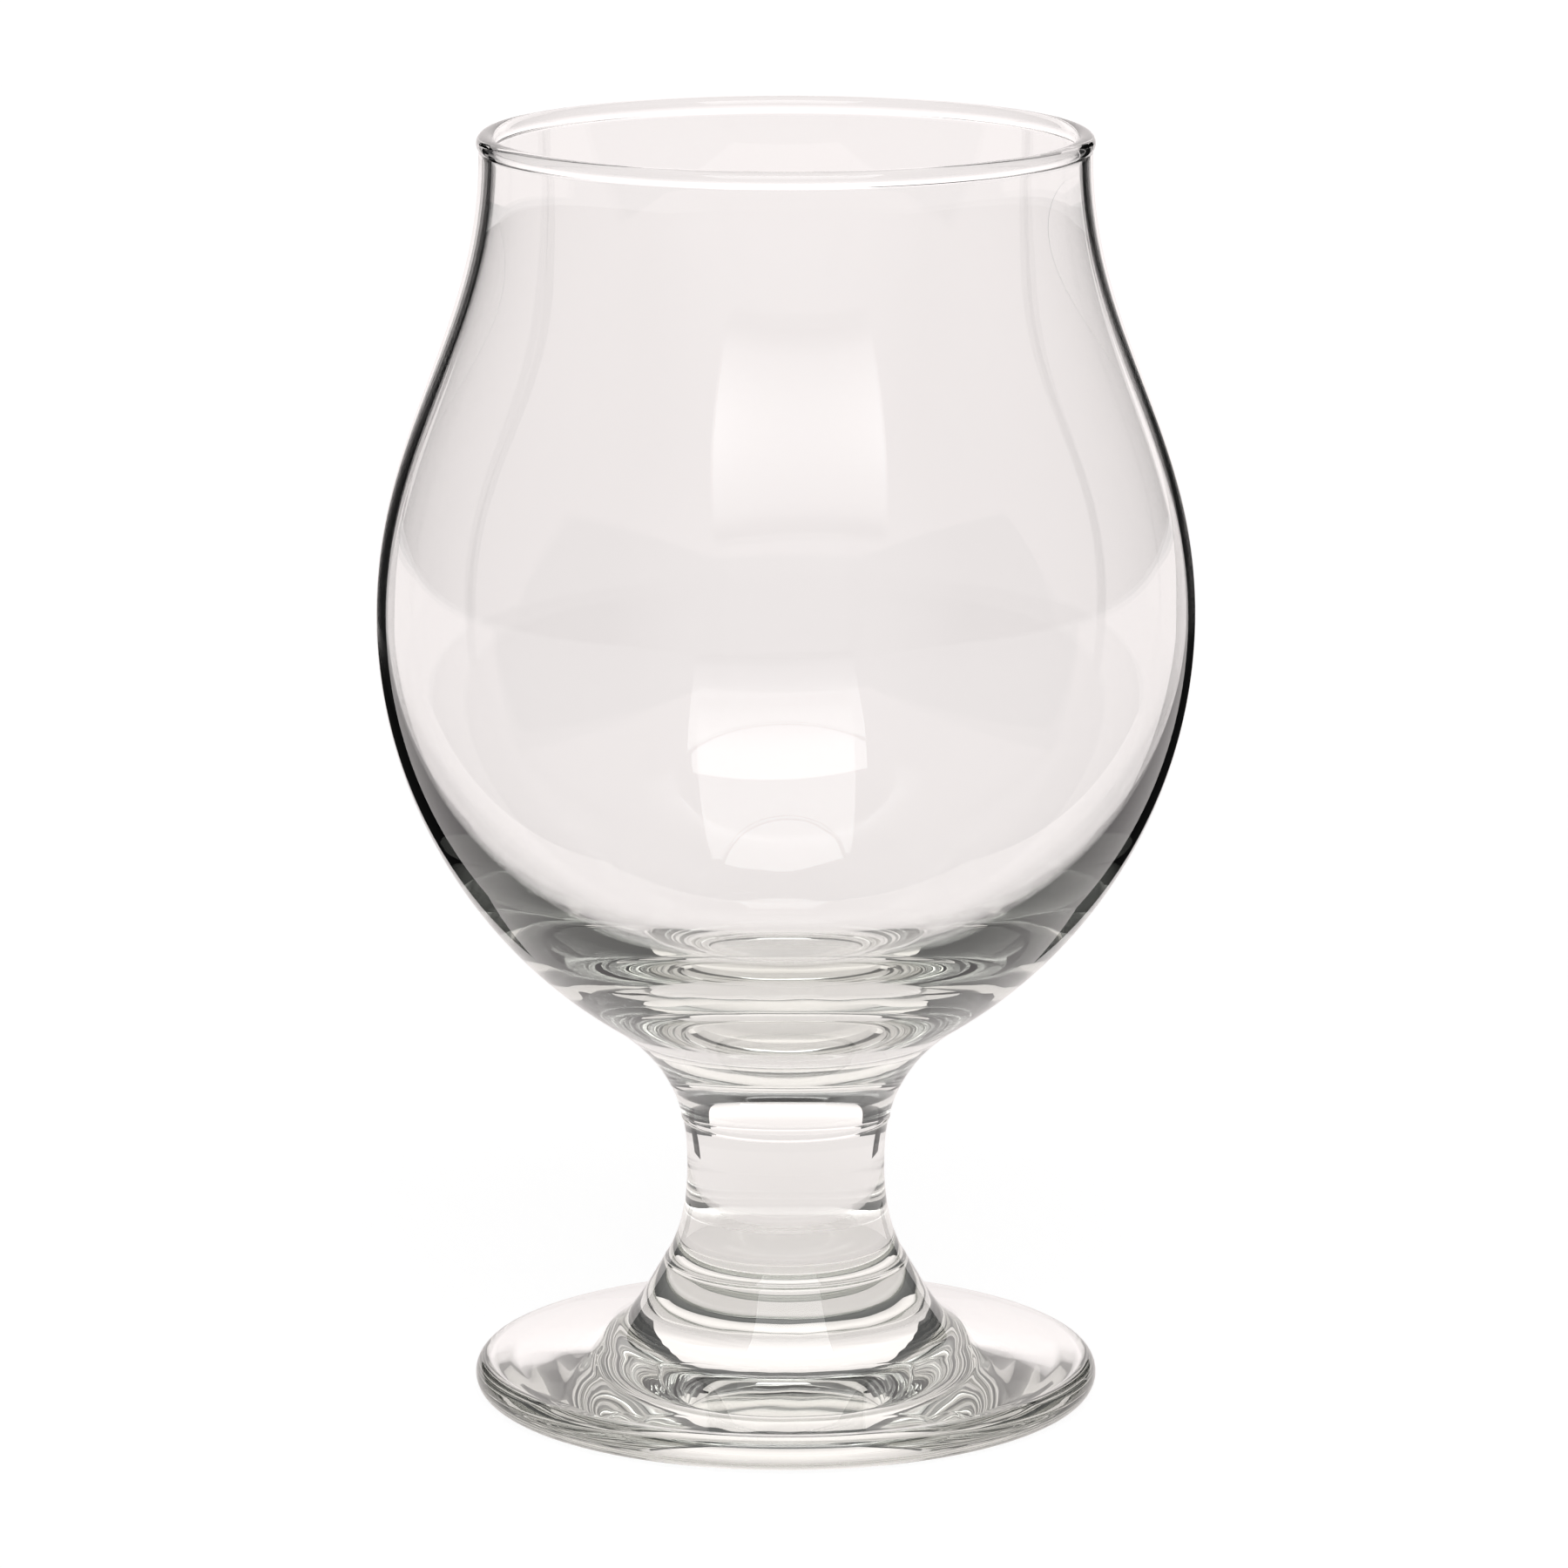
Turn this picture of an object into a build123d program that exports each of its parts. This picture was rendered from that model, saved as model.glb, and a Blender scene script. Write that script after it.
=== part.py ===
from build123d import *
import math
import os

# Tulip beer glass: a stemmed drinking glass with a round belly, a drawn-in neck and a beaded rim.
# It is made as real stemware is: a blown bowl, a pressed stem and a pressed foot, fused hot.
# All sizes are in millimetres. The origin is the middle of the ring that the foot stands on,
# +Z is up, and every piece is its half outline, drawn as (radius, height), turned about Z.

# Heights of the three pieces, stacked from the table up
FOOT_HEIGHT = 14.9  # table to the joint between foot and stem
STEM_LENGTH = 16.1  # that joint to the weld under the bowl
BOWL_HEIGHT = 109.0  # weld to the top of the rim

# Rim: a round bead of melted glass, a little thicker than the wall that it closes
RIM_DIAMETER = 66.7  # outside of the bead
BEAD_PROUD_OUTSIDE = 0.25  # how far it stands out from the neck's outside
BEAD_PROUD_INSIDE = 0.36  # how far it stands in from the neck's inside
BEAD_BLEND = 0.5  # radius where the bead runs into the wall

# Bowl: outside of the shoulder, the belly, the round underside and the stub above the weld
NECK_DROP = 2.4  # from the top of the rim down to the narrowest place
BELLY_DIAMETER = 89.2  # widest place
BELLY_HEIGHT = 56.2  # widest place above the weld
BASE_DIAMETER = 40.0  # where the round underside ends
BASE_HEIGHT = 11.3  # that place above the weld
WELD_DIAMETER = 22.9  # joint between bowl and stem
WELD_LEAN = 13.0  # lean of the outline there, in degrees from upright

# Bowl: wall and cavity
NECK_WALL = 1.45  # wall under the bead
BELLY_WALL = 1.0  # wall at the widest place, where the blown glass is stretched most
FLOOR_THICKNESS = 14.2  # solid glass from the weld up to the cavity's floor

# Stem: solid, with a waist
WAIST_DIAMETER = 21.8  # narrowest place
WAIST_DROP = 5.6  # from the weld down to it
COLLAR_DIAMETER = 26.6  # joint between stem and foot
COLLAR_LEAN = 31.0  # lean of the outline there, in degrees from upright

# Foot: a disc with a rounded edge, a flare up to the stem and a hollow underside
FOOT_DIAMETER = 68.9  # outside of the disc
FOOT_EDGE = 3.8  # thickness of its rounded edge
HEEL_DIAMETER = 42.0  # where the flare has run out into the disc's top
HEEL_HEIGHT = 6.2  # height of the top there
REST_RING_WIDTH = 3.0  # width of the flat ring that stands on the table
HOLLOW_DEPTH = 1.3  # depth of the hollow inside that ring, at the middle

# How far each end's direction leads into a free curve, as shares of the distance that it spans
SHOULDER_LEADS = (0.39, 0.37)  # from the belly, from the neck
FLOOR_LEADS = (0.46, 0.35)  # from the middle of the floor, from the belly
HOLLOW_LEADS = (0.16, 0.55)  # from the weld, from the round underside
STEM_TOP_LEADS = (0.11, 0.64)  # from the weld, from the waist
STEM_LEADS = (0.49, 0.22)  # from the waist, from the collar
FLARE_LEADS = (0.50, 0.30)  # from the collar, from the heel

UP = Vector(0, 1)
DOWN = Vector(0, -1)
OUT = Vector(1, 0)

collar_height = FOOT_HEIGHT
weld_height = collar_height + STEM_LENGTH
rim_height = weld_height + BOWL_HEIGHT
neck_radius = RIM_DIAMETER / 2 - BEAD_PROUD_OUTSIDE
weld_edge = Vector(WELD_DIAMETER / 2, weld_height)
collar_edge = Vector(COLLAR_DIAMETER / 2, collar_height)


def leaning(degrees):
    """Direction down the outline, leaning out from upright, or in where the angle is negative."""
    turn = math.radians(degrees)
    return Vector(math.sin(turn), -math.cos(turn))


def free_curve(start, start_direction, end, end_direction, leads):
    """Smooth curve between two points that leaves and arrives in the given directions."""
    span = (end - start).length
    start_lead = start + start_direction * span * leads[0]
    end_lead = end - end_direction * span * leads[1]
    return Bezier(start, start_lead, end_lead, end)


def turned(section):
    """Solid made by turning a half section, drawn as (radius, height), about the Z axis."""
    return revolve(Plane.XZ * section, Axis.Z)


def bowl_side(wall_at_belly, wall_at_neck):
    """Belly point, and the shoulder from it up to the neck, this far inside the bowl's outside."""
    belly = Vector(BELLY_DIAMETER / 2 - wall_at_belly, weld_height + BELLY_HEIGHT)
    neck = Vector(neck_radius - wall_at_neck, rim_height - NECK_DROP)
    return belly, free_curve(belly, UP, neck, UP, SHOULDER_LEADS)


def make_bowl():
    """Blown bowl: even wall, thick round bottom down to the weld, and the rim's bead."""
    belly, shoulder = bowl_side(0, 0)
    base = Vector(BASE_DIAMETER / 2, weld_height + BASE_HEIGHT)
    underside = TangentArc(belly, base, tangent=DOWN)
    hollow = free_curve(weld_edge, -leaning(-WELD_LEAN), base, -(underside % 1), HOLLOW_LEADS)

    cavity_belly, cavity_shoulder = bowl_side(BELLY_WALL, NECK_WALL)
    floor = Vector(0, weld_height + FLOOR_THICKNESS)
    cavity_round = free_curve(floor, OUT, cavity_belly, UP, FLOOR_LEADS)

    bead_thickness = NECK_WALL + BEAD_PROUD_OUTSIDE + BEAD_PROUD_INSIDE
    bead_centre = Vector((RIM_DIAMETER - bead_thickness) / 2, rim_height - bead_thickness / 2)
    neck_outside = shoulder @ 1
    neck_inside = cavity_shoulder @ 1
    outside_top = Vector(neck_outside.X, bead_centre.Y)
    inside_top = Vector(neck_inside.X, bead_centre.Y)
    wall = make_face(
        Curve()
        + [
            hollow,
            underside,
            shoulder,
            Polyline(neck_outside, outside_top, inside_top, neck_inside),
            cavity_shoulder,
            cavity_round,
            Polyline(floor, (0, weld_height), weld_edge),
        ]
    )
    section = wall + Pos(bead_centre) * Circle(bead_thickness / 2)
    under_bead = section.vertices().filter_by_position(Axis.Y, neck_outside.Y + 0.001, bead_centre.Y)
    return turned(fillet(under_bead, BEAD_BLEND))


def make_stem():
    """Pressed solid stem: from the weld in to the waist, and out again to the collar."""
    waist = Vector(WAIST_DIAMETER / 2, weld_height - WAIST_DROP)
    upper = free_curve(weld_edge, leaning(-WELD_LEAN), waist, DOWN, STEM_TOP_LEADS)
    lower = free_curve(waist, DOWN, collar_edge, leaning(COLLAR_LEAN), STEM_LEADS)
    ends = Polyline(collar_edge, (0, collar_height), (0, weld_height), weld_edge)
    return turned(make_face(Curve() + [upper, lower, ends]))


def make_foot():
    """Pressed foot: flare, sloping top, rounded edge, the ring it rests on and the hollow."""
    heel = Vector(HEEL_DIAMETER / 2, HEEL_HEIGHT)
    edge_centre = Vector((FOOT_DIAMETER - FOOT_EDGE) / 2, FOOT_EDGE / 2)
    edge_top = edge_centre + UP * FOOT_EDGE / 2
    edge_bottom = edge_centre + DOWN * FOOT_EDGE / 2
    top_slope = (edge_top - heel).normalized()
    flare = free_curve(collar_edge, leaning(COLLAR_LEAN), heel, top_slope, FLARE_LEADS)
    rest_inside = edge_bottom - OUT * REST_RING_WIDTH
    hollow_middle = Vector(0, HOLLOW_DEPTH)
    hollow = TangentArc(hollow_middle, rest_inside, tangent=OUT)
    return turned(
        make_face(
            Curve()
            + [
                flare,
                Line(heel, edge_top),
                CenterArc(edge_centre, FOOT_EDGE / 2, -90, 180),
                Line(edge_bottom, rest_inside),
                hollow,
                Polyline(hollow_middle, (0, collar_height), collar_edge),
            ]
        )
    )


os.makedirs("parts", exist_ok=True)
export_step(make_bowl(), "parts/bowl.step")
export_step(make_stem(), "parts/stem.step")
export_step(make_foot(), "parts/foot.step")
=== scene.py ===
import math

import bpy
import numpy as np
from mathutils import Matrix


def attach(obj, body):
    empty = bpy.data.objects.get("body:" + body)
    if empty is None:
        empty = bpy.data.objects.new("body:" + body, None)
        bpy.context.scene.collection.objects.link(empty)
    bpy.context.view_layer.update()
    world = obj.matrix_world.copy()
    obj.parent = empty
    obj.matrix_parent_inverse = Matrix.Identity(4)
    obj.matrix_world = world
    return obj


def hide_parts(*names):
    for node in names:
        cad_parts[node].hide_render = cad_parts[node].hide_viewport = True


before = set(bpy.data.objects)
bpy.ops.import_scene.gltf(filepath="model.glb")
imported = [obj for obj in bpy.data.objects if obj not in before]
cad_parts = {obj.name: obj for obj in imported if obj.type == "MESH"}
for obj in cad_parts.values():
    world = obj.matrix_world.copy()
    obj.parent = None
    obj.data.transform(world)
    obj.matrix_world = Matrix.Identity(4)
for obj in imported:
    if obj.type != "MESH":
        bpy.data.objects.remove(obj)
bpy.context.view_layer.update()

# The outlines below run in mm, as (radius, height), with the origin in the middle of the ring that
# the foot stands on. The studio and the camera are in metres, in the same frame.

MM = 0.001
OUT = np.array([1.0, 0.0])
UP = np.array([0.0, 1.0])
GAP = 0.002  # mm between two fused pieces

# ---------------------------------------------------------------------------------------------
# Foot. A pressed disc of soda-lime glass, fused to the stem: it flares from the joint down to a
# sloping top, ends in a round edge, and stands on a ring round a shallow hollow.

FOOT_HEIGHT = 14.9
FOOT_DIAMETER = 68.9
FOOT_EDGE = 3.8
HEEL = np.array([21.0, 6.2])
REST_RING_WIDTH = 3.0
HOLLOW_DEPTH = 1.3
COLLAR = np.array([13.3, FOOT_HEIGHT])
COLLAR_LEAN = 31.0
FLARE_LEADS = (0.50, 0.30)
COLLAR_RIDGE = (FOOT_HEIGHT, 0.06, 0.25)  # height, how far it stands out, reach
RIDGE_FADE = 5.0  # radius inside which a ridge leaves the fused face flat

SEGMENTS = 256
WAVES = ((7, 0.35), (13, -0.55), (22, 0.8))  # lobes round the axis, drift in radians per mm
FOOT_WAVES = 0.006
WAVE_FADE = 8.0  # radius inside which the waves die out towards the axis
REST_FADE = 0.4  # height over which they die out towards the table
COLLAR_FADE = 3.0  # height over which they die out towards the joint

GLASS_INDEX = 1.52
GLASS_TINT = "#C8CBBF"
GLASS_DENSITY = 10.0  # with the tint, takes 4.2 of red, 4.0 of green and 4.8 of blue per metre
FACE_NEAR = 0.01  # mm within which a face lies at a joint's height
FACE_LEVEL = 0.99  # least upright share of a level face's normal


def led(start, start_direction, end, end_direction, leads, count, crowd=0):
    """Cubic curve whose leads are shares of the span, along a direction leaving and one arriving: the
    start, its lead, the end's lead and the end, weighted by (1-t)^3, 3t(1-t)^2, 3t^2(1-t) and t^3. The
    points are packed towards the start where crowd is 1, with t = u^2, and towards the end where it is -1."""
    start, end = np.asarray(start, float), np.asarray(end, float)
    span = np.linalg.norm(end - start)
    start_lead = start + start_direction * span * leads[0]
    end_lead = end - end_direction * span * leads[1]
    u = np.linspace(0, 1, count)[:, None]
    t = {0: u, 1: u**2, -1: 1 - (1 - u) ** 2}[crowd]
    s = 1 - t
    return s**3 * start + 3 * t * s**2 * start_lead + 3 * t**2 * s * end_lead + t**3 * end


def arc(centre, radius, first, last, count):
    """Points of a circle's arc: centre plus radius times (cos a, sin a), for a in degrees, first to last."""
    a = np.radians(np.linspace(first, last, count))
    return np.asarray(centre) + radius * np.stack([np.cos(a), np.sin(a)], 1)


def to_axis(edge):
    """Flat fused face, from its edge to the axis."""
    return np.linspace(edge, [0, edge[1]], 3)


def run(*pieces):
    """One outline from curves laid end to end, with repeated points left out."""
    points = np.concatenate(pieces)
    step = np.linalg.norm(np.diff(points, axis=0), axis=1)
    return points[np.concatenate([[True], step > 1e-6])]


def leaning(degrees):
    """Direction down the outline, leaning out from upright by an angle d: (sin d, -cos d)."""
    turn = math.radians(degrees)
    return np.array([math.sin(turn), -math.cos(turn)])


def bell(height, middle, reach):
    """Share that falls off on both sides of a middle height: exp(-((height - middle) / reach)^2)."""
    return np.exp(-(((height - middle) / reach) ** 2))


def ridged(outline, ridge):
    """Outline with a melted joint's ridge: each point moves out by the ridge's size times its bell,
    less near the axis, where the fused face runs in flat."""
    height, proud, reach = ridge
    near_side = np.clip(outline[:, 0] / RIDGE_FADE - 1, 0, 1)
    return outline + OUT * (proud * bell(outline[:, 1], height, reach) * near_side)[:, None]


def turned(name, outline, caps, wavy, aside=None):
    """Closed surface of revolution: the point at (radius r, height z) of the outline goes to
    (r cos a + aside, r sin a, z) for each angle a. Both ends of the outline lie on the axis and become
    poles. caps are the outline's rows whose ring is a sharp corner, with a flat fused face beyond it.
    Mould-pressed glass is wavy: each point moves square to the outline by wavy times the mean of
    sin(k a + drift (r + z)) over WAVES, which are (k, drift)."""
    aside = np.zeros(len(outline)) if aside is None else aside
    a = np.arange(SEGMENTS) * 2 * math.pi / SEGMENTS
    ring = outline[1:-1]
    along = np.gradient(outline, axis=0)[1:-1]
    along /= np.linalg.norm(along, axis=1)[:, None]
    place = ring.sum(1)[:, None]
    wave = np.mean([np.sin(k * a + drift * place) for k, drift in WAVES], axis=0) * wavy[1:-1, None]
    radius = ring[:, :1] + wave * along[:, 1:]
    x = radius * np.cos(a) + aside[1:-1, None]
    y = radius * np.sin(a)
    z = ring[:, 1:] - wave * along[:, :1]
    poles = [[aside[0], 0, outline[0, 1]], [aside[-1], 0, outline[-1, 1]]]
    points = np.concatenate([np.stack([x, y, z], -1).reshape(-1, 3), poles]) * MM

    i = np.arange(SEGMENTS)
    j = (i + 1) % SEGMENTS
    base = (np.arange(len(ring) - 1) * SEGMENTS)[:, None]
    quads = np.stack([base + i, base + j, base + j + SEGMENTS, base + i + SEGMENTS], -1).reshape(-1, 4)
    top = (len(ring) - 1) * SEGMENTS
    pole = len(ring) * SEGMENTS
    low = np.stack([j, i, np.full(SEGMENTS, pole)], -1)
    high = np.stack([top + i, top + j, np.full(SEGMENTS, pole + 1)], -1)
    mesh = bpy.data.meshes.new(name)
    mesh.from_pydata(points.tolist(), [], quads.tolist() + low.tolist() + high.tolist())
    mesh.shade_smooth()

    ends = np.empty(len(mesh.edges) * 2, np.int32)
    mesh.edges.foreach_get("vertices", ends)
    rings = ends.reshape(-1, 2) // SEGMENTS
    sharp = np.isin(rings[:, 0], np.array(caps) - 1) & (rings[:, 0] == rings[:, 1])
    mesh.attributes.new("sharp_edge", "BOOLEAN", "EDGE").data.foreach_set("value", sharp)
    piece = bpy.data.objects.new(name, mesh)
    bpy.context.scene.collection.objects.link(piece)
    return piece


def add(tree, kind, settings=None, **links):
    """Adds one node, sets its sockets and properties from a dictionary, and links named sockets."""
    node = tree.nodes.new(kind)
    for key, value in (settings or {}).items():
        if key in node.inputs:
            node.inputs[key].default_value = value
        else:
            setattr(node, key, value)
    for key, source in links.items():
        tree.links.new(source, node.inputs[key])
    return node


def linear(code):
    """Linear colour of a hex value: a channel c is ((c + 0.055) / 1.055)^2.4, or c / 12.92 when dark."""
    channels = [int(code[k : k + 2], 16) / 255 for k in (1, 3, 5)]
    return (*[c / 12.92 if c <= 0.04045 else ((c + 0.055) / 1.055) ** 2.4 for c in channels], 1.0)


def bare_tree(owner):
    """The emptied node tree of a material or a world."""
    owner.use_nodes = True
    owner.node_tree.nodes.clear()
    return owner.node_tree


def soda_lime():
    """Clear soda-lime glass. Fire-polishing gives the eye a mirror-smooth skin with sharp reflections, and
    traces of iron take a little light inside, so that the thick base, stem and foot look grey-green and
    the thin wall clear. On a fused face the index falls to 1, because a weld has no surface in it."""
    material = bpy.data.materials.new("soda_lime_glass_fire_polished")
    tree = bare_tree(material)
    fused = add(tree, "ShaderNodeAttribute", {"attribute_name": "fused"})
    fall = {"To Min": GLASS_INDEX, "To Max": 1.0}
    index = add(tree, "ShaderNodeMapRange", fall, Value=fused.outputs["Fac"])
    surface = add(
        tree,
        "ShaderNodeBsdfPrincipled",
        {"Base Color": (1, 1, 1, 1), "Roughness": 0.0, "IOR": GLASS_INDEX, "Transmission Weight": 1.0},
        IOR=index.outputs[0],
    )
    inside = add(tree, "ShaderNodeVolumeAbsorption", {"Color": linear(GLASS_TINT), "Density": GLASS_DENSITY})
    add(tree, "ShaderNodeOutputMaterial", Surface=surface.outputs[0], Volume=inside.outputs[0])
    return material


def finish(piece, node, fused_heights):
    """Gives a piece its glass, marks its fused faces, hangs it on the root body and hides the CAD node it
    stands for.
    """
    mesh = piece.data
    mesh.materials.append(glass)
    middle = np.empty(len(mesh.polygons) * 3)
    mesh.polygons.foreach_get("center", middle)
    normal = np.empty(len(mesh.polygons) * 3)
    mesh.polygons.foreach_get("normal", normal)
    height, upright = middle[2::3] / MM, abs(normal[2::3])
    fused = np.zeros(len(mesh.polygons))
    for joint in fused_heights:
        fused[(abs(height - joint) < FACE_NEAR) & (upright > FACE_LEVEL)] = 1
    mesh.attributes.new("fused", "FLOAT", "FACE").data.foreach_set("value", fused)
    mesh.update()
    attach(piece, "root")
    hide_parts(node)


glass = soda_lime()

edge_centre = np.array([(FOOT_DIAMETER - FOOT_EDGE) / 2, FOOT_EDGE / 2])
edge_top = edge_centre + UP * FOOT_EDGE / 2
edge_bottom = edge_centre - UP * FOOT_EDGE / 2
rest_inside = edge_bottom - OUT * REST_RING_WIDTH
top_slope = (edge_top - HEEL) / np.linalg.norm(edge_top - HEEL)
hollow_round = (rest_inside[0] ** 2 + HOLLOW_DEPTH**2) / (2 * HOLLOW_DEPTH)
hollow_edge = math.degrees(math.asin(rest_inside[0] / hollow_round))
foot_side = run(
    arc((0, HOLLOW_DEPTH - hollow_round), hollow_round, 90, 90 - hollow_edge, 60),
    np.linspace(rest_inside, edge_bottom, 8),
    arc(edge_centre, FOOT_EDGE / 2, -90, 90, 40),
    np.linspace(edge_top, HEEL, 30),
    led(COLLAR, leaning(COLLAR_LEAN), HEEL, top_slope, FLARE_LEADS, 70, crowd=1)[::-1],
)
foot_side[-1] -= UP * GAP / 2
foot_outline = ridged(run(foot_side, to_axis(foot_side[-1])), COLLAR_RIDGE)
radii, heights = foot_outline.T
foot_waves = FOOT_WAVES * np.clip(radii / WAVE_FADE, 0, 1)
foot_waves *= (1 - bell(heights, 0, REST_FADE)) * (1 - bell(heights, FOOT_HEIGHT, COLLAR_FADE))
foot = turned("foot", foot_outline, [len(foot_outline) - 3], foot_waves)
finish(foot, "foot", [FOOT_HEIGHT - GAP / 2])

# ---------------------------------------------------------------------------------------------
# Stem. Pressed solid glass, fused at both ends: it narrows from the weld to its waist and widens
# again to the joint with the foot.

WELD = np.array([11.45, 31.0])
WELD_LEAN = 13.0
WELD_RIDGE = (WELD[1], 0.1, 0.2)
WAIST = np.array([10.9, 25.4])
STEM_TOP_LEADS = (0.11, 0.64)
STEM_LEADS = (0.49, 0.22)

weld_direction = leaning(-WELD_LEAN)
stem_side = run(
    led(WELD, weld_direction, WAIST, -UP, STEM_TOP_LEADS, 50, crowd=1),
    led(WAIST, -UP, COLLAR, leaning(COLLAR_LEAN), STEM_LEADS, 70, crowd=-1),
)[::-1]
stem_side[0] += UP * GAP / 2
stem_side[-1] -= UP * GAP / 2
stem_outline = run(to_axis(stem_side[0])[::-1], stem_side, to_axis(stem_side[-1]))
stem_outline = ridged(ridged(stem_outline, COLLAR_RIDGE), WELD_RIDGE)
stem = turned("stem", stem_outline, [2, len(stem_outline) - 3], np.zeros(len(stem_outline)))
finish(stem, "stem", [FOOT_HEIGHT + GAP / 2, WELD[1] - GAP / 2])

# ---------------------------------------------------------------------------------------------
# Bowl. Blown soda-lime glass, fused to the stem: a thick round bottom above the weld, a thin wall
# round the belly, and a neck whose edge was melted into a round bead.

BELLY = np.array([44.6, 87.2])
BASE = np.array([20.0, 42.3])
NECK = np.array([33.1, 137.6])
RIM_HEIGHT = 140.0
RIM_DIAMETER = 66.7
BELLY_WALL = 1.0
NECK_WALL = 1.45
FLOOR = np.array([0.0, 45.2])
BEAD_RADIUS = 1.03
BEAD_BLEND = 0.5
SHOULDER_LEADS = (0.39, 0.37)
FLOOR_LEADS = (0.46, 0.35)
HOLLOW_LEADS = (0.16, 0.55)

CAVITY_ASIDE = 0.2  # how far the blown cavity sits off the axis
ASIDE_HEIGHT = 114.0
ASIDE_REACH = 26.0
BOWL_WAVES = 0.004
BOWL_WAVES_HEIGHT = 45.0
BOWL_WAVES_REACH = 8.0

bead_centre = np.array([RIM_DIAMETER / 2, RIM_HEIGHT]) - BEAD_RADIUS
across, drop = BELLY - BASE
underside_round = (across**2 + drop**2) / (2 * across)
underside_centre = BELLY - OUT * underside_round
base_angle = math.degrees(math.atan2(*(BASE - underside_centre)[::-1]))
base_direction = -leaning(base_angle)


def shoulder(in_belly, in_neck):
    """The wall's side from belly up to neck, this far inside the outside."""
    return led(BELLY - OUT * in_belly, UP, NECK - OUT * in_neck, UP, SHOULDER_LEADS, 60)


def under_bead(wall_radius, side):
    """Arc that runs the wall's side into the bead, with the angle where it meets the bead. Its centre lies
    one blend from the wall and one blend from the bead. side is 1 outside and -1 inside."""
    radius = wall_radius + side * BEAD_BLEND
    below = math.sqrt((BEAD_RADIUS + BEAD_BLEND) ** 2 - (radius - bead_centre[0]) ** 2)
    centre = np.array([radius, bead_centre[1] - below])
    way_out, way_up = bead_centre - centre
    wall_angle = 180.0 if side > 0 else 0.0
    bead_angle = math.degrees(math.atan2(way_up, way_out))
    return arc(centre, BEAD_BLEND, wall_angle, bead_angle, 8), math.degrees(math.atan2(-way_up, -way_out))


outer_blend, outer_angle = under_bead(NECK[0], 1)
inner_blend, inner_angle = under_bead(NECK[0] - NECK_WALL, -1)
outside = run(
    led(WELD, -weld_direction, BASE, base_direction, HOLLOW_LEADS, 48, crowd=1),
    arc(underside_centre, underside_round, base_angle, 0, 64),
    shoulder(0, 0),
    outer_blend,
    arc(bead_centre, BEAD_RADIUS, outer_angle, inner_angle + 360, 32),
)
inside = run(
    inner_blend[::-1],
    shoulder(BELLY_WALL, NECK_WALL)[::-1],
    led(FLOOR, OUT, BELLY - OUT * BELLY_WALL, UP, FLOOR_LEADS, 84)[::-1],
)
outside[0] += UP * GAP / 2
bowl_outline = ridged(run(to_axis(outside[0])[::-1], outside, inside), WELD_RIDGE)
radii, heights = bowl_outline.T
in_cavity = np.arange(len(bowl_outline)) >= len(bowl_outline) - len(inside)
cavity_aside = CAVITY_ASIDE * bell(heights, ASIDE_HEIGHT, ASIDE_REACH) * in_cavity
bowl_waves = BOWL_WAVES * bell(heights, BOWL_WAVES_HEIGHT, BOWL_WAVES_REACH)
bowl_waves *= np.clip(radii / WAVE_FADE - 0.5, 0, 1)
bowl = turned("bowl", bowl_outline, [2], bowl_waves, cavity_aside)
finish(bowl, "bowl", [WELD[1] + GAP / 2])

# ---------------------------------------------------------------------------------------------
# Studio. White paper lies on a grey table and runs back to a paper backdrop. Two black flags stand
# close behind the glass, either side, and draw its edges. A softbox hangs above the camera, and the
# room is dim. The camera sees ground and room as white, and the glass shows them in their own tones,
# except the backdrop, whose glow by height is painted light, lightest in a middle band.

KEPT_SHADOW = 0.08  # share of the ground's light that the glass can shade
GROUND_DIFFUSE = 0.2
PAPER_TONE = "#F4EEED"
TABLE_TONE = "#B4B4B4"
TABLE_HALF = 2.0
TABLE_LEVEL = -0.0007
PAPER_LEVEL = -0.0002
PAPER_FRONT = -0.05
PAPER_HALF = 1.5
STRIP_FRONT = -0.5
STRIP_HALF = 0.2
BACKDROP_DISTANCE = 1.2
BACKDROP_HALF = 0.85
BACKDROP_TOP = 1.2
BACKDROP_FULL = 1.5
# Painted light on the backdrop paper: its glow by height as shares of BACKDROP_FULL, lightest in a middle
# band, darker low and high.
BACKDROP_PAINTED_LIGHT = ((0.0, 0.62), (0.2, 0.72), (0.35, 0.9), (0.6, 0.9), (1.0, 0.65))

FLAG_TONE = 0.01
FLAG_DISTANCE = 0.055
FLAG_BOTTOM = 0.008
FLAG_TOP = 0.16
FLAG_SIDES = ((0.0524, 0.0738), (-0.0546, -0.0788))

ROOM_TONES = ((0.0, 0.1), (0.3, 0.08), (0.87, 0.22), (0.95, 0.05), (1.0, 0.02))
FRONT_TONE = 0.3
FRONT_STARTS = -0.6
FRONT_FULL = -0.9

SOFTBOX_FULL = 3.0
SOFTBOX_TONES = ((0.05, 0.0), (0.1, 0.22), (0.2, 0.36), (0.32, 0.75), (0.45, 0.8), (0.65, 1.0))
SOFTBOX_ELEVATION = 46.0
SOFTBOX_AZIMUTH = 4.0
SOFTBOX_DISTANCE = 0.95
SOFTBOX_AIM = 0.09
SOFTBOX_HALVES = (0.44, 0.4)


def rectangle(left, right, low, high):
    """Corners of a rectangle in the plane."""
    return [(left, low), (right, low), (right, high), (left, high)]


def panel(name, corners, material):
    """Flat staged polygon."""
    mesh = bpy.data.meshes.new(name)
    mesh.from_pydata(corners, [], [tuple(range(len(corners)))])
    mesh.materials.append(material)
    item = bpy.data.objects.new(name, mesh)
    bpy.context.scene.collection.objects.link(item)
    return item


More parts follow.
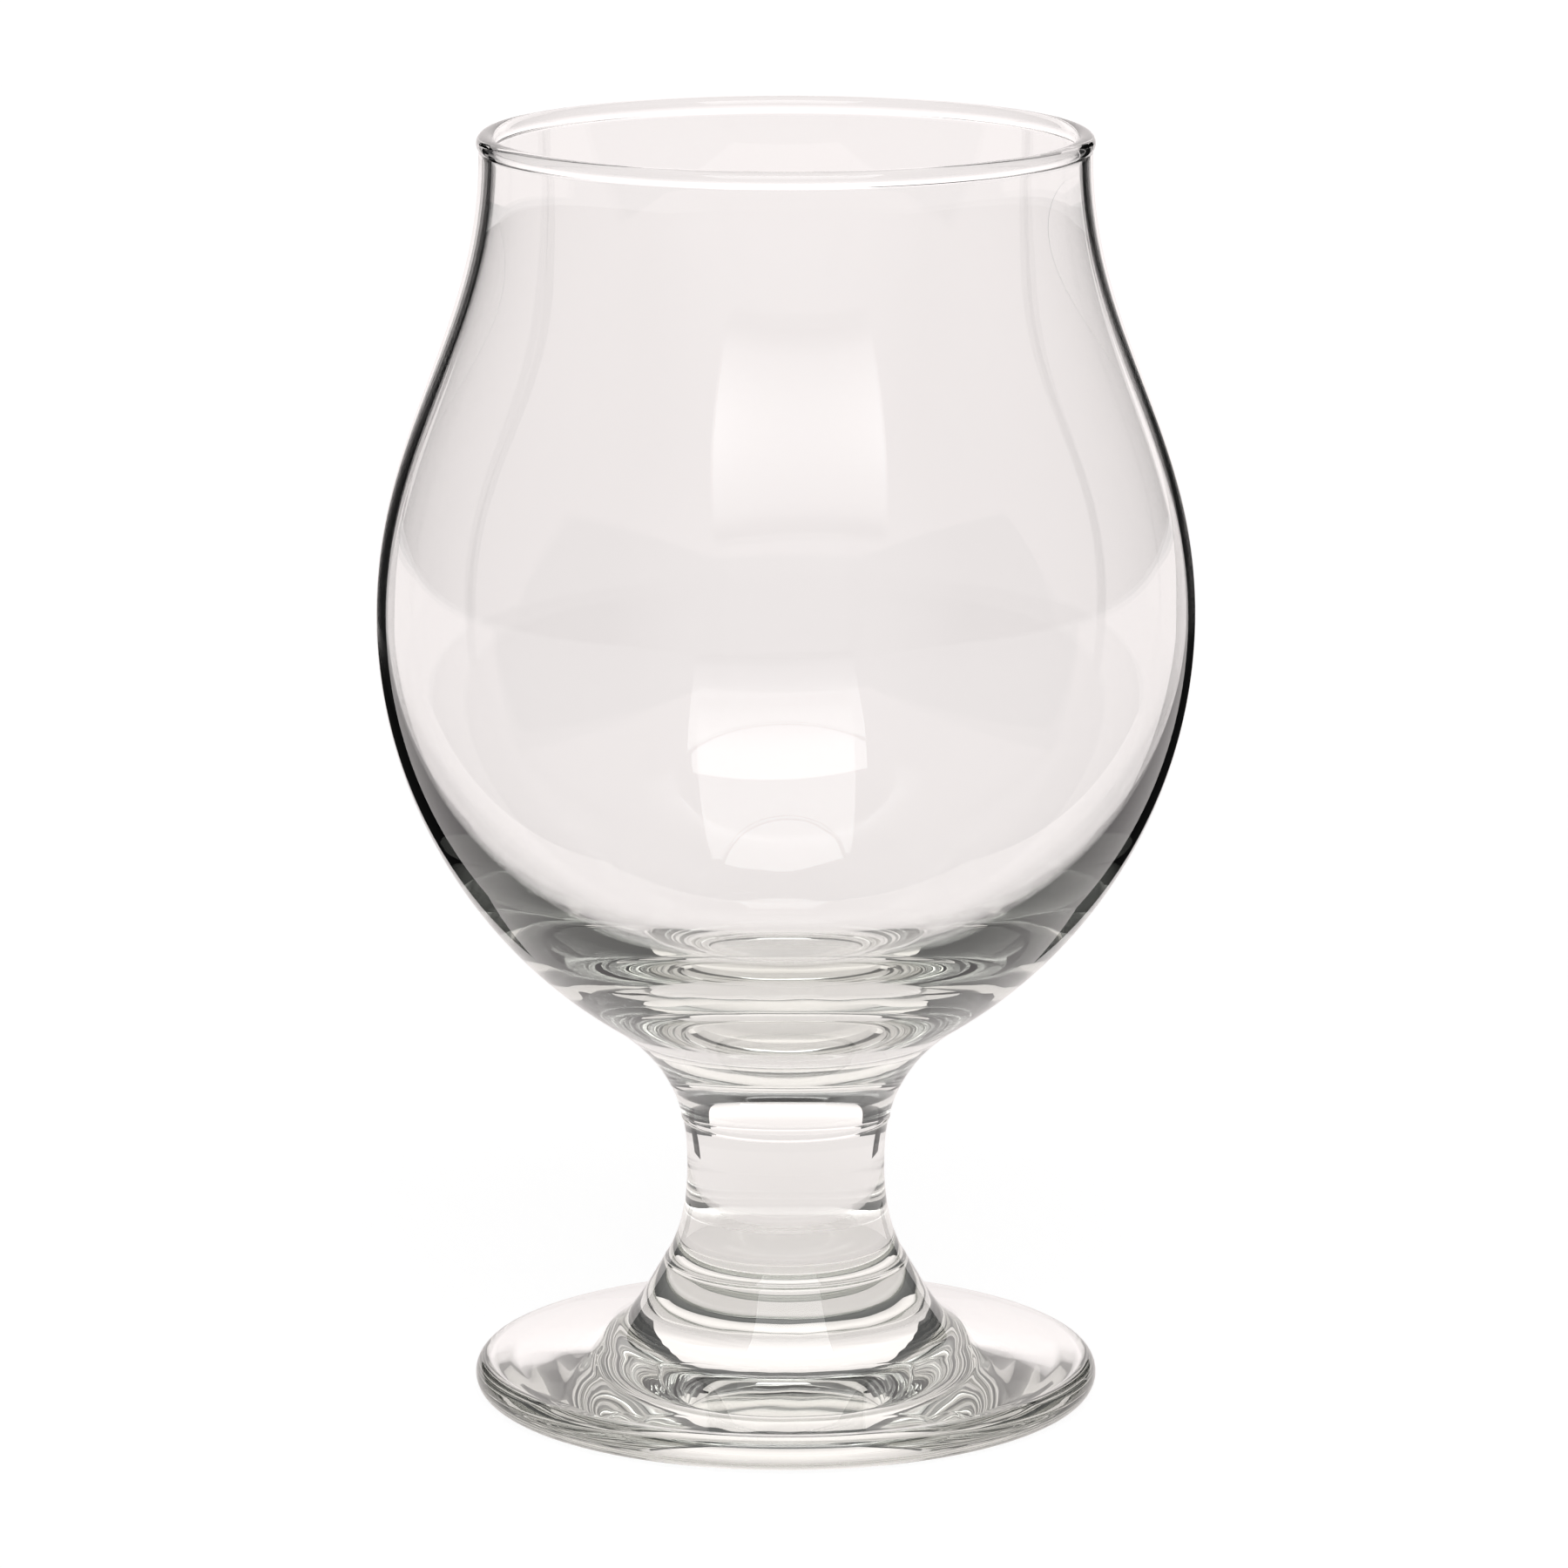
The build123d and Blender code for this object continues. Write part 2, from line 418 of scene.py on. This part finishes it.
def rising(tree, steps):
    """Greys by height, given as (place, tone) from the bottom at 0 to the top at 1. In the world, the
    place is the upward part of the direction. Gives the ramp's node and the one that splits the place."""
    coordinates = add(tree, "ShaderNodeTexCoord")
    split = add(tree, "ShaderNodeSeparateXYZ", Vector=coordinates.outputs["Generated"])
    rise = add(tree, "ShaderNodeValToRGB", Fac=split.outputs["Z"])
    stops = rise.color_ramp.elements
    for stop, (place, tone) in zip((stops[0], stops[1]), (steps[0], steps[-1])):
        stop.position, stop.color = place, (tone, tone, tone, 1)
    for place, tone in steps[1:-1]:
        stops.new(place).color = (tone, tone, tone, 1)
    return rise, split


def white_to_camera(tree, own, white):
    """Shader that is white where the camera looks straight at it, and has its own tone in the glass."""
    path = add(tree, "ShaderNodeLightPath")
    both = add(tree, "ShaderNodeMixShader", Fac=path.outputs["Is Camera Ray"])
    tree.links.new(own.outputs[0], both.inputs[1])
    tree.links.new(white.outputs[0], both.inputs[2])
    return both


def ground(name, code, steps=None):
    """Matt ground of the given tone, white to the camera. It shines with its tone less the kept shadow's
    share, and a weak diffuse coat gives that share back where the glass doesn't shade it. Steps, where
    given, are painted light: its glow by height, lighter and darker bands, as shares of BACKDROP_FULL."""
    material = bpy.data.materials.new(name)
    tree = bare_tree(material)
    white = add(tree, "ShaderNodeEmission", {"Color": (1, 1, 1, 1), "Strength": 1 - KEPT_SHADOW})
    own = add(tree, "ShaderNodeEmission", {"Color": linear(code), "Strength": 1 - KEPT_SHADOW})
    if steps:
        rise, _ = rising(tree, steps)
        share = add(tree, "ShaderNodeMath", {"operation": "MULTIPLY"})
        tree.links.new(rise.outputs[0], share.inputs[0])
        share.inputs[1].default_value = BACKDROP_FULL
        tree.links.new(share.outputs[0], own.inputs["Strength"])
    shine = white_to_camera(tree, own, white)
    coat = add(tree, "ShaderNodeBsdfDiffuse", {"Color": (GROUND_DIFFUSE,) * 3 + (1,)})
    total = add(tree, "ShaderNodeAddShader")
    tree.links.new(shine.outputs[0], total.inputs[0])
    tree.links.new(coat.outputs[0], total.inputs[1])
    add(tree, "ShaderNodeOutputMaterial", Surface=total.outputs[0])
    return material


def black_card():
    """Black flag cloth, which only the glass sees."""
    material = bpy.data.materials.new("black_flag")
    tree = bare_tree(material)
    light = add(tree, "ShaderNodeEmission", {"Color": (FLAG_TONE,) * 3 + (1,), "Strength": 1.0})
    add(tree, "ShaderNodeOutputMaterial", Surface=light.outputs[0])
    return material


def softbox_cloth():
    """Softbox cloth: its light runs up from nothing at the lower edge to full strength past the middle."""
    material = bpy.data.materials.new("softbox_cloth")
    tree = bare_tree(material)
    rise, _ = rising(tree, SOFTBOX_TONES)
    light = add(tree, "ShaderNodeEmission", {"Strength": SOFTBOX_FULL}, Color=rise.outputs[0])
    add(tree, "ShaderNodeOutputMaterial", Surface=light.outputs[0])
    return material


def dim_room():
    """World, white to the camera. The glass shows greys by height, and a lighter wall behind the camera."""
    world = bpy.data.worlds.new("studio")
    bpy.context.scene.world = world
    tree = bare_tree(world)
    rise, split = rising(tree, ROOM_TONES)
    front_range = {"From Min": FRONT_STARTS, "From Max": FRONT_FULL, "To Max": FRONT_TONE}
    front = add(tree, "ShaderNodeMapRange", front_range, Value=split.outputs["Y"])
    walls = add(tree, "ShaderNodeMath", {"operation": "ADD"})
    tree.links.new(rise.outputs[0], walls.inputs[0])
    tree.links.new(front.outputs[0], walls.inputs[1])
    dim = add(tree, "ShaderNodeBackground", {"Strength": 1.0}, Color=walls.outputs[0])
    white = add(tree, "ShaderNodeBackground", {"Color": (1, 1, 1, 1), "Strength": 1.0})
    both = white_to_camera(tree, dim, white)
    add(tree, "ShaderNodeOutputWorld", Surface=both.outputs[0])


table_corners = rectangle(-TABLE_HALF, TABLE_HALF, -TABLE_HALF, TABLE_HALF)
panel("table", [(x, y, TABLE_LEVEL) for x, y in table_corners], ground("table_top", TABLE_TONE))

strip = rectangle(-STRIP_HALF, STRIP_HALF, STRIP_FRONT, PAPER_FRONT)
sheet = rectangle(-PAPER_HALF, PAPER_HALF, PAPER_FRONT, BACKDROP_DISTANCE)
paper_corners = strip[:3] + sheet[1:] + [sheet[0], strip[3]]
panel("paper", [(x, y, PAPER_LEVEL) for x, y in paper_corners], ground("white_paper", PAPER_TONE))

backdrop_corners = rectangle(-BACKDROP_HALF, BACKDROP_HALF, 0, BACKDROP_TOP)
# The backdrop paper glows with painted light, lighter and darker by height.
backdrop_paper_painted_light = ground("backdrop_paper_painted_light", PAPER_TONE, BACKDROP_PAINTED_LIGHT)
panel("backdrop", [(x, BACKDROP_DISTANCE, z) for x, z in backdrop_corners], backdrop_paper_painted_light)

flag_cloth = black_card()
for near, far in FLAG_SIDES:
    flag_corners = rectangle(near, far, FLAG_BOTTOM, FLAG_TOP)
    flag = panel("black_flag", [(x, FLAG_DISTANCE, z) for x, z in flag_corners], flag_cloth)
    flag.visible_camera = False
    flag.visible_diffuse = False
    flag.visible_shadow = False

el, az = math.radians(SOFTBOX_ELEVATION), math.radians(SOFTBOX_AZIMUTH)
towards = np.array([math.sin(az) * math.cos(el), -math.cos(az) * math.cos(el), math.sin(el)])
right = np.array([math.cos(az), math.sin(az), 0]) * SOFTBOX_HALVES[0]
up = np.array([-math.sin(az) * math.sin(el), math.cos(az) * math.sin(el), math.cos(el)]) * SOFTBOX_HALVES[1]
middle = towards * SOFTBOX_DISTANCE + [0, 0, SOFTBOX_AIM]
softbox_corners = [tuple(middle + a * right + b * up) for a, b in rectangle(-1, 1, -1, 1)]
softbox = panel("softbox", softbox_corners, softbox_cloth())
softbox.visible_camera = False
dim_room()

# ---------------------------------------------------------------------------------------------
# Camera. A long lens at the photograph's angle, aimed at the middle of the glass.

CAMERA_PLACE = (-0.0002, -0.8411, 0.2467)
CAMERA_DOWN = 11.977
CAMERA_LENS = 180.26

camera_data = bpy.data.cameras.new("camera")
camera_data.sensor_width = 36.0
camera_data.lens = CAMERA_LENS
camera = bpy.data.objects.new("camera", camera_data)
camera.location = CAMERA_PLACE
camera.rotation_euler = (math.radians(90 - CAMERA_DOWN), 0, 0)
bpy.context.scene.collection.objects.link(camera)
bpy.context.scene.camera = camera

bpy.context.scene.view_settings.view_transform = "Standard"
cycles = bpy.context.scene.cycles
cycles.max_bounces = 32
cycles.transmission_bounces = 32
cycles.glossy_bounces = 16
cycles.transparent_max_bounces = 32
